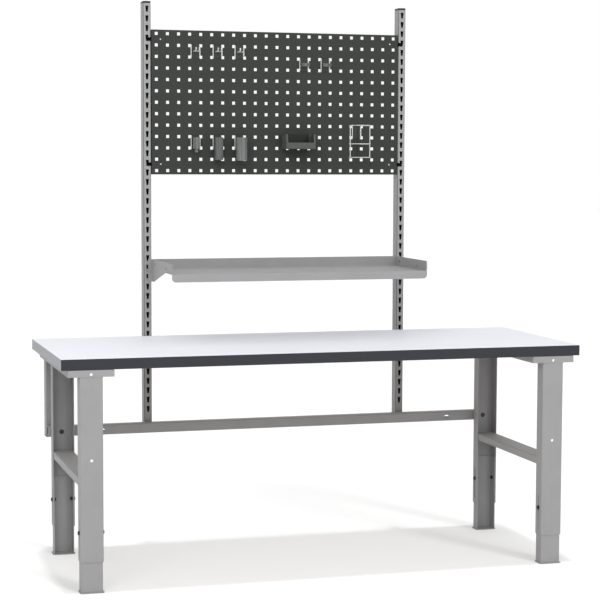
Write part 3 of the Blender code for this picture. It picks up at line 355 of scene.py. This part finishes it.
def extruded_band(name, hue):
    """Make ABS edge band, extruded and milled flush."""
    # It reads as satin plastic with faint streaks along its length. The lines of the die are
    # under 1 mm wide and are drawn at 5 mm, and the milled grain at 3 mm.
    material, tree, shader = start_material(name, hue, 0.42, gloss=0.3)
    streaks, peel = grain(tree, 5, (40, 40, 1)), grain(tree, 3)
    vary(tree, shader, hue, streaks, 0.05, dullness=(streaks, 0.36, 0.48), relief=(peel, 0.04, 0.4))
    return material


def particle_board(name, hue):
    """Make particle board, pressed from spruce chips and glue."""
    # It reads as a mat of flat chips, 4 to 8 mm long, in light and dark straw colours.
    material, tree, shader = start_material(name, hue, 0.85)
    place = add_node(tree, "ShaderNodeTexCoord")
    spread = add_node(
        tree, "ShaderNodeMapping", {}, {"Vector": place.outputs["Object"], "Scale": (0.5, 1, 1)}
    )
    chips = add_node(
        tree, "ShaderNodeTexVoronoi", {}, {"Vector": spread.outputs["Vector"], "Scale": 1 / (5 * MM)}
    )
    shade = add_node(tree, "ShaderNodeSeparateColor", {}, {"Color": chips.outputs["Color"]})
    level = add_node(
        tree, "ShaderNodeMapRange", {}, {"Value": shade.outputs["Red"], "To Min": 0.72, "To Max": 1.18}
    )
    tinted = add_node(
        tree, "ShaderNodeHueSaturation", {}, {"Color": hue, "Value": level.outputs["Result"]}
    )
    tree.links.new(tinted.outputs["Color"], shader.inputs["Base Color"])
    raised = add_node(
        tree, "ShaderNodeBump", {},
        {"Height": chips.outputs["Distance"], "Distance": 0.2 * MM, "Strength": 0.4},
    )
    tree.links.new(raised.outputs["Normal"], shader.inputs["Normal"])
    return material


def bare_metal(name, hue, roughness):
    """Make zinc plate, put on steel in a bath, or the drawn aluminium of a rivet."""
    # It reads as a soft grey metal with slightly cloudy gloss. Its clouds are about 7 mm across,
    # and its grain of under 0.5 mm is drawn at 2 mm.
    material, tree, shader = start_material(name, hue, roughness, 1.0)
    clouds, fine = grain(tree, 7, detail=3.0), grain(tree, 2)
    duller = (clouds, roughness - 0.08, roughness + 0.08)
    vary(tree, shader, hue, clouds, 0.10, dullness=duller, relief=(fine, 0.03, 0.3))
    return material


def moulded_plastic(name, hue):
    """Make polyamide, moulded in a finely sparked tool."""
    # It reads as a near black satin with a fine even grain of under 1 mm, drawn at 1.5 mm.
    material, tree, shader = start_material(name, hue, 0.48)
    fine = grain(tree, 1.5)
    vary(tree, shader, hue, fine, 0.12, relief=(fine, 0.05, 0.5))
    return material


def holder_steel(name, front_hue, base_hue, edge_highlight_hue, roughness=0.42):
    """Make the finish of a clip-in holder: a dark base, its bare side folds with a painted highlight,
    and the front piece.
    """
    # The base reads as the panel does, its two folds as thin bright lines of zinc, brightened near
    # white as a painted highlight, and the front piece as drawn and lacquered steel with upright
    # streaks. These are about 1 mm wide and are drawn at 6 mm.
    material, tree, shader = start_material(name, front_hue, roughness, gloss=0.2)
    streaks = grain(tree, 6, (1, 1, 30))
    vary(tree, shader, front_hue, streaks, 0.30, relief=(streaks, 0.08, 0.5))
    axes = places(tree)
    base = add_node(
        tree, "ShaderNodeMath", {"operation": "GREATER_THAN"},
        {0: axes["Y"], 1: panel_front() - BASE_DEPTH},
    )
    across = add_node(
        tree, "ShaderNodeMath", {"operation": "PINGPONG"}, {0: axes["X"], 1: hole_pitch() / 2}
    )
    fold = add_node(
        tree, "ShaderNodeMath", {"operation": "LESS_THAN"}, {0: across.outputs[0], 1: BASE_FOLD}
    )
    paint_zone(tree, shader, base_hue, base.outputs[0])
    paint_zone(tree, shader, edge_highlight_hue, base.outputs[0], fold.outputs[0])
    duller = add_node(
        tree, "ShaderNodeMapRange", {},
        {"Value": base.outputs[0], "To Min": roughness, "To Max": PANEL_ROUGHNESS},
    )
    tree.links.new(duller.outputs["Result"], shader.inputs["Roughness"])
    return material


def tray_steel(name, hue, shade_hue, low, high):
    """Make powder coat on the folded parts tray, with painted shade on its inside within the rim."""
    # Little light reaches its rear wall between the sides, so a painted shade makes it near black
    # there.
    material = powder_coat(name, hue, 0.55, 0.3)
    tree = material.node_tree
    axes = places(tree)
    between = add_node(
        tree, "ShaderNodeMath", {"operation": "COMPARE"},
        {0: axes["X"], 1: (low.x + high.x) / 2, 2: (high.x - low.x) / 2 - TRAY_RIM},
    )
    behind = add_node(
        tree, "ShaderNodeMath", {"operation": "GREATER_THAN"}, {0: axes["Y"], 1: low.y + TRAY_WALL}
    )
    shader = tree.nodes["Principled BSDF"]
    paint_zone(tree, shader, shade_hue, between.outputs[0], behind.outputs[0])
    return material


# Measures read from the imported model

def panel_front():
    """Give the Y of the panel's front face."""
    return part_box("perforated_panel")[0].y


def hole_pitch():
    """Give the distance between the panel's holes, from two holders that stand two columns apart."""
    first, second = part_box("wrench_hook_1")[0].x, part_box("wrench_hook_2")[0].x
    return (second - first) / 2


def nodes_named(*starts):
    """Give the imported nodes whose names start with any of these."""
    return [node for name, node in sorted(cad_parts.items()) if name.startswith(starts)]


def finish_nodes(material, *starts):
    """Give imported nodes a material."""
    for node in nodes_named(*starts):
        node.data.materials.clear()
        node.data.materials.append(material)


# Shapes

def lathe(shape, profile, sides, turn):
    """Turn a profile of radius and height round local Z and add it to a bmesh."""
    rings = []
    for radius, height in profile:
        if radius == 0:
            rings.append([shape.verts.new(turn @ Vector((0, 0, height)))])
            continue
        angles = [math.tau * i / sides for i in range(sides)]
        points = [Vector((radius * math.cos(a), radius * math.sin(a), height)) for a in angles]
        rings.append([shape.verts.new(turn @ point) for point in points])
    for low, high in zip(rings, rings[1:]):
        for i in range(sides):
            j = (i + 1) % sides
            corners = [low[i % len(low)], low[j % len(low)], high[j % len(high)], high[i % len(high)]]
            shape.faces.new([v for k, v in enumerate(corners) if v not in corners[:k]])


def facing(axis, at):
    """Give the matrix that takes local +Z to an axis and the origin to a place."""
    turn = Vector((0, 0, 1)).rotation_difference(Vector(axis))
    return Matrix.Translation(at) @ turn.to_matrix().to_4x4()


def finish_piece(name, shape, material, body):
    """Turn a bmesh into a piece that rides on a body."""
    bmesh.ops.recalc_face_normals(shape, faces=shape.faces)
    mesh = bpy.data.meshes.new(name)
    shape.to_mesh(mesh)
    shape.free()
    mesh.materials.append(material)
    mesh.shade_smooth()
    mesh.set_sharp_from_angle(angle=SHARP_ANGLE)
    piece = bpy.data.objects.new(name, mesh)
    bpy.context.scene.collection.objects.link(piece)
    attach(piece, body)
    return piece


def flange_head(shape, sizes, at, axis):
    """Add a hex head on its flange, seated at a place and facing along an axis."""
    turn = facing(axis, at)
    flange, rise, top = sizes.flange_radius, sizes.flange_height, sizes.head_height
    corner, chamfer = sizes.hex_radius, sizes.head_height / 6
    skirt = [(0, 0), (flange, 0), (flange, rise / 2), (corner, rise), (0, rise)]
    lathe(shape, skirt, FLANGE_SIDES, turn)
    foot, shoulder, brow = (corner, rise / 2), (corner, top - chamfer), (corner - chamfer, top)
    lathe(shape, [(0, rise / 2), foot, shoulder, brow, (0, top)], HEX_SIDES, turn)


def round_head(shape, radius, height, at, axis):
    """Add a domed screw head, seated at a place and facing along an axis."""
    angles = [math.pi / 2 * i / DOME_STEPS for i in range(DOME_STEPS)]
    dome = [(radius * math.cos(a), height * math.sin(a)) for a in angles]
    lathe(shape, [(0, 0), *dome, (0, height)], DOME_SIDES, facing(axis, at))


def shank(shape, radius, start, end):
    """Add a round shank between two places."""
    start, end = Vector(start), Vector(end)
    reach = (end - start).length
    profile = [(0, 0), (radius, 0), (radius, reach), (0, reach)]
    lathe(shape, profile, SHANK_SIDES, facing(end - start, start))


# Operators

class WORKBENCH_OT_finish_worktop(bpy.types.Operator):
    """Finish the worktop's laminate, board and edge bands"""

    bl_idname = "workbench.finish_worktop"
    bl_label = "Finish the worktop"

    def execute(self, context):
        hues = context.scene.workbench_finishes
        finish_nodes(melamine_laminate("melamine laminate", hues.laminate), "worktop_laminate")
        finish_nodes(particle_board("particle board", hues.board), "worktop_board")
        dark = extruded_band("dark ABS edge band", hues.front_band)
        grey = extruded_band("grey ABS edge band", hues.end_band)
        finish_nodes(dark, "edge_band_front", "edge_band_rear")
        finish_nodes(grey, "edge_band_left", "edge_band_right")
        return {"FINISHED"}


class WORKBENCH_OT_finish_frame(bpy.types.Operator):
    """Powder coat the folded steel and finish the plastic caps and plugs"""

    bl_idname = "workbench.finish_frame"
    bl_label = "Finish the frame"

    def execute(self, context):
        hues = context.scene.workbench_finishes
        grey = powder_coat("grey powder coat", hues.frame_coat, 0.58, 0.35)
        finish_nodes(
            grey, "top_member", "side_rail", "outer_leg", "inner_leg", "rear_crossbar",
            "end_stub", "post_bracket", "stub_bracket", "shelf_bracket", "shelf_tray",
        )
        # The posts' coat carries painted shade on their inside.
        low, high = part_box("post_right")
        post = slotted_tube(
            "grey powder coat of the posts with painted shade inside", hues.frame_coat, hues.post_inside_shade, low, high, 0.58, 0.35
        )
        finish_nodes(post, "post_left", "post_right")
        black = moulded_plastic("moulded black polyamide", hues.black)
        finish_nodes(black, "post_cap", "stub_plug")
        finish_nodes(powder_coat("black powder coat", hues.hook_coat, 0.7, 0.05), "panel_hook")
        return {"FINISHED"}


class WORKBENCH_OT_build_bolts(bpy.types.Operator):
    """Build the flanged bolts of the legs, the crossbar, the posts and the stubs"""

    bl_idname = "workbench.build_bolts"
    bl_label = "Build the bolts"

    def execute(self, context):
        sizes = context.scene.workbench_fasteners
        # The bolts' zinc plate is darkened near black as painted shade.
        zinc = bare_metal("zinc plate darkened as painted shade", context.scene.workbench_finishes.zinc, 0.36)
        for name in sorted(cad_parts):
            if "_bolt_" in name:
                shape = bmesh.new()
                self.bolt(shape, sizes, name)
                body = name.replace("clamp_bolt", "leg") if name.startswith("clamp_bolt") else BENCH
                piece_name = name.replace("bolt", "flange_bolt")
                piece = finish_piece(piece_name, shape, zinc, body)
                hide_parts(name)
        return {"FINISHED"}

    def bolt(self, shape, sizes, name):
        """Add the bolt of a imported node, with its heads and with its nuts or nut plate."""
        low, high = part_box(name)
        middle = (low + high) / 2
        clamp, plated = name.startswith("clamp_bolt"), name.startswith(("post", "stub"))
        if clamp:
            axis = Vector((1, 0, 0))
            ends = (Vector((low.x, middle.y, middle.z)), Vector((high.x, middle.y, middle.z)))
        else:
            axis = Vector((0, 1, 0))
            ends = (Vector((middle.x, low.y, middle.z)), Vector((middle.x, high.y, middle.z)))
        sides = list(zip(ends, (-axis, axis)))
        head = sizes.head_height
        if clamp:
            for end, way in sides:
                self.nut(shape, sizes, end - way * head, way)
        else:
            shank(shape, sizes.shank_radius, *[end - way * head / 2 for end, way in sides])
        # A bolt with a nut plate has the plate at the front and its one head at the rear
        for end, way in sides[1:] if plated else sides:
            flange_head(shape, sizes, end - way * head, way)
        if plated:
            self.nut_plate(shape, low, high, middle)

    def nut(self, shape, sizes, seat, outward):
        """Add a short shank through both legs' walls, with its nut inside the inner leg."""
        inner_face = seat - outward * CLAMP_GRIP
        shank(shape, sizes.shank_radius, seat, inner_face - outward * (NUT_HEIGHT + THREAD_END))
        profile = [(0, 0), (sizes.hex_radius, 0), (sizes.hex_radius, NUT_HEIGHT), (0, NUT_HEIGHT)]
        lathe(shape, profile, HEX_SIDES, facing(-outward, inner_face))

    def nut_plate(self, shape, low, high, middle):
        """Add the nut plate that bears on the crossbar's lips."""
        centre = Vector((middle.x, low.y + NUT_PLATE / 2, middle.z))
        made = bmesh.ops.create_cube(shape, size=1.0)["verts"]
        extent = Vector((high.x - low.x, NUT_PLATE, high.z - low.z))
        bmesh.ops.scale(shape, vec=extent, verts=made)
        bmesh.ops.translate(shape, vec=centre, verts=made)
        edges = {edge for vert in made for edge in vert.link_edges}
        bmesh.ops.bevel(
            shape, geom=list(edges), offset=NUT_PLATE / 8, segments=2, affect="EDGES", profile=0.5
        )


class WORKBENCH_OT_build_screws(bpy.types.Operator):
    """Build the shelf screws, the worktop screws and the panel rivets"""

    bl_idname = "workbench.build_screws"
    bl_label = "Build the screws and rivets"

    def execute(self, context):
        sizes = context.scene.workbench_fasteners
        hues = context.scene.workbench_finishes
        zinc = bare_metal("bright zinc plate", hues.screw_zinc, 0.36)
        self.shelf_screws(sizes, zinc)
        self.worktop_screws(sizes, zinc)
        self.panel_rivets(sizes, bare_metal("drawn aluminium rivet", hues.rivet, 0.45))
        return {"FINISHED"}

    def shelf_screws(self, sizes, material):
        """Fix the tray to each bracket with two screws through their sides."""
        edge_x, edge_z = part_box("perforated_panel")[1].x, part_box("shelf_tray")[1].z
        for side, side_name in ((-1, "left"), (1, "right")):
            low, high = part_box(f"shelf_bracket_{side_name}")
            outside, inside = side * edge_x, side * (edge_x - SHELF_WALLS)
            rear = (high.y - SCREW_FROM_REAR, edge_z - REAR_SCREW_DROP)
            front = (low.y + SCREW_FROM_FRONT, edge_z - FRONT_SCREW_DROP)
            shape = bmesh.new()
            for y, z in (rear, front):
                round_head(shape, sizes.screw_radius, sizes.screw_height, (outside, y, z), (side, 0, 0))
                round_head(shape, sizes.screw_radius, sizes.screw_height, (inside, y, z), (-side, 0, 0))
            finish_piece(f"shelf_screws_{side_name}", shape, material, BENCH)

    def worktop_screws(self, sizes, material):
        """Screw each pan up into the board from below."""
        for side_name in ("left", "right"):
            low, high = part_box(f"top_member_{side_name}")
            seat = high.z - PAN_WALL
            shape = bmesh.new()
            for u in SCREWS_ACROSS:
                for v in SCREWS_ALONG:
                    at = (low.x + u * (high.x - low.x), low.y + v * (high.y - low.y), seat)
                    round_head(shape, sizes.wood_screw_radius, sizes.screw_height, at, (0, 0, -1))
            finish_piece(f"worktop_screws_{side_name}", shape, material, BENCH)

    def panel_rivets(self, sizes, material):
        """Rivet the panel's hooks at its four corners."""
        low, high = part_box("perforated_panel")
        radius, height = sizes.rivet_radius, sizes.rivet_radius / 3
        shape = bmesh.new()
        for x in (low.x + RIVETS_FROM_LEFT, high.x - RIVETS_FROM_RIGHT):
            for z in (low.z + RIVETS_FROM_BOTTOM, high.z - RIVETS_FROM_TOP):
                round_head(shape, radius, height, (x, low.y, z), (0, -1, 0))
        finish_piece("panel_rivets", shape, material, BENCH)


class WORKBENCH_OT_finish_panel(bpy.types.Operator):
    """Finish the perforated panel and its tool holders"""

    bl_idname = "workbench.finish_panel"
    bl_label = "Finish the panel and holders"

    def execute(self, context):
        hues = context.scene.workbench_finishes
        dark = powder_coat("dark powder coat", hues.panel_coat, PANEL_ROUGHNESS, 0.10)
        finish_nodes(dark, "perforated_panel")
        # The edge colour is a painted highlight on the bases' side folds.
        base, edge = hues.panel_coat, hues.bare_edge_highlight
        coated = holder_steel("lacquered holder steel", hues.holder_coat, base, edge)
        finish_nodes(coated, "driver_clip", "tool_funnel", "tool_tube_large")
        # The small tube takes a darker copy of the holder coat as painted shade.
        small = holder_steel("lacquered holder steel darkened as painted shade", hues.shaded_small_coat, base, edge)
        finish_nodes(small, "tool_tube_small")
        plated = holder_steel("plated hook wire", hues.wire, base, edge, 0.35)
        finish_nodes(plated, "wrench_hook", "can_holder")
        low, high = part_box("parts_tray")
        tray = tray_steel("coated parts tray with painted shade", hues.tray_coat, hues.tray_inside_shade, low, high)
        finish_nodes(tray, "parts_tray")
        return {"FINISHED"}


class WORKBENCH_OT_set_stage(bpy.types.Operator):
    """Set the floor, the lamps and the camera"""

    bl_idname = "workbench.set_stage"
    bl_label = "Set the stage"

    def execute(self, context):
        studio = context.scene.workbench_studio
        self.floor(studio)
        self.sky(context.scene, studio)
        self.lamp("right lamp", studio.right_lamp, RIGHT_LAMP_PLACE)
        self.lamp("left lamp", studio.left_lamp, LEFT_LAMP_PLACE)
        self.floor_lamp("overhead", studio.overhead, OVERHEAD_WAY, OVERHEAD_SPREAD)
        self.floor_lamp("low lamp", studio.low_lamp, LOW_LAMP_WAY, LOW_LAMP_SPREAD)
        self.camera(context.scene)
        return {"FINISHED"}

    def floor(self, studio):
        """Lay a pale floor whose white comes partly from its own colour."""
        material, tree, shader = start_material("pale floor", studio.floor, 0.9)
        vary(tree, shader, studio.floor, grain(tree, 30, detail=3.0), 0.004)
        lift = add_node(
            tree, "ShaderNodeMath", {"operation": "MULTIPLY"},
            {0: seen_in_views(tree), 1: studio.floor_lift},
        )
        shader.inputs["Emission Color"].default_value = (1, 1, 1, 1)
        tree.links.new(lift.outputs[0], shader.inputs["Emission Strength"])
        mesh = bpy.data.meshes.new("floor")
        reach = FLOOR_REACH
        corners = [(-reach, -reach, 0), (reach, -reach, 0), (reach, reach, 0), (-reach, reach, 0)]
        mesh.from_pydata(corners, [], [(0, 1, 2, 3)])
        mesh.materials.append(material)
        floor = bpy.data.objects.new("floor", mesh)
        bpy.context.scene.collection.objects.link(floor)

    def sky(self, scene, studio):
        """Light the bench evenly all round, and show white behind it."""
        world = bpy.data.worlds.new("studio")
        scene.world = world
        world.use_nodes = True
        tree = world.node_tree
        background = tree.nodes["Background"]
        background.inputs["Color"].default_value = (1, 1, 1, 1)
        strength = add_node(
            tree, "ShaderNodeMapRange", {},
            {"Value": seen_in_views(tree), "To Min": studio.sky, "To Max": 1.0},
        )
        tree.links.new(strength.outputs["Result"], background.inputs["Strength"])

    def floor_lamp(self, name, strength, way, spread):
        """Shine on the floor alone from far away, for the shadow that the bench leaves there."""
        light = bpy.data.lights.new(name, "SUN")
        light.energy = strength
        light.angle = math.radians(spread)
        holder = bpy.data.objects.new(name, light)
        holder.rotation_euler = Vector(way).to_track_quat("Z", "Y").to_euler()
        bpy.context.scene.collection.objects.link(holder)
        reach = bpy.data.collections.new(f"{name} reach")
        reach.objects.link(bpy.data.objects["floor"])
        holder.light_linking.receiver_collection = reach

    def lamp(self, name, power, at):
        """Hang a large soft lamp that looks at the middle of the bench."""
        light = bpy.data.lights.new(name, "AREA")
        light.energy = power
        light.size = LAMP_SIZE
        holder = bpy.data.objects.new(name, light)
        holder.location = at
        holder.rotation_euler = (LAMP_TARGET - Vector(at)).to_track_quat("-Z", "Y").to_euler()
        bpy.context.scene.collection.objects.link(holder)

    def camera(self, scene):
        """Place the camera at the photograph's viewing angle."""
        yaw, pitch, roll = CAMERA_YAW, CAMERA_PITCH, CAMERA_ROLL
        ahead = math.cos(pitch)
        forward = Vector((math.sin(yaw) * ahead, math.cos(yaw) * ahead, -math.sin(pitch)))
        level_right = Vector((math.cos(yaw), -math.sin(yaw), 0))
        level_up = level_right.cross(forward)
        right = math.cos(roll) * level_right + math.sin(roll) * level_up
        up = -math.sin(roll) * level_right + math.cos(roll) * level_up
        lens = bpy.data.cameras.new("camera")
        lens.sensor_width = CAMERA_SENSOR
        lens.lens = CAMERA_LENS
        lens.clip_end = CAMERA_RANGE
        holder = bpy.data.objects.new("camera", lens)
        turn = Matrix((right, up, -forward)).transposed().to_4x4()
        holder.matrix_world = Matrix.Translation(CAMERA_PLACE) @ turn
        scene.collection.objects.link(holder)
        scene.camera = holder
        scene.view_settings.view_transform = "Standard"


OPERATORS = (
    WORKBENCH_OT_finish_worktop,
    WORKBENCH_OT_finish_frame,
    WORKBENCH_OT_build_bolts,
    WORKBENCH_OT_build_screws,
    WORKBENCH_OT_finish_panel,
    WORKBENCH_OT_set_stage,
)
GROUPS = {
    "workbench_finishes": WorkbenchFinishes,
    "workbench_fasteners": WorkbenchFasteners,
    "workbench_studio": WorkbenchStudio,
}


class WORKBENCH_PT_dressing(bpy.types.Panel):
    """List the bench's sizes, colours and steps"""

    bl_idname = "WORKBENCH_PT_dressing"
    bl_label = "Workbench dressing"
    bl_space_type = "VIEW_3D"
    bl_region_type = "UI"
    bl_category = "Workbench"

    def draw(self, context):
        column = self.layout.column(align=True)
        for group in GROUPS:
            values = getattr(context.scene, group)
            for name in values.__annotations__:
                column.prop(values, name)
            column.separator()
        for operator in OPERATORS:
            column.operator(operator.bl_idname)


def register():
    """Register the classes and hang the groups on the scene."""
    for group, kind in GROUPS.items():
        bpy.utils.register_class(kind)
        setattr(bpy.types.Scene, group, PointerProperty(type=kind))
    for kind in (*OPERATORS, WORKBENCH_PT_dressing):
        bpy.utils.register_class(kind)


def unregister():
    """Take the groups and the classes away again."""
    for kind in (WORKBENCH_PT_dressing, *reversed(OPERATORS)):
        bpy.utils.unregister_class(kind)
    for group, kind in reversed(GROUPS.items()):
        delattr(bpy.types.Scene, group)
        bpy.utils.unregister_class(kind)


def main():
    """Dress the bench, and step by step."""
    register()
    bpy.ops.workbench.finish_worktop()
    bpy.ops.workbench.finish_frame()
    bpy.ops.workbench.build_bolts()
    bpy.ops.workbench.build_screws()
    bpy.ops.workbench.finish_panel()
    bpy.ops.workbench.set_stage()


if __name__ == "__main__":
    main()
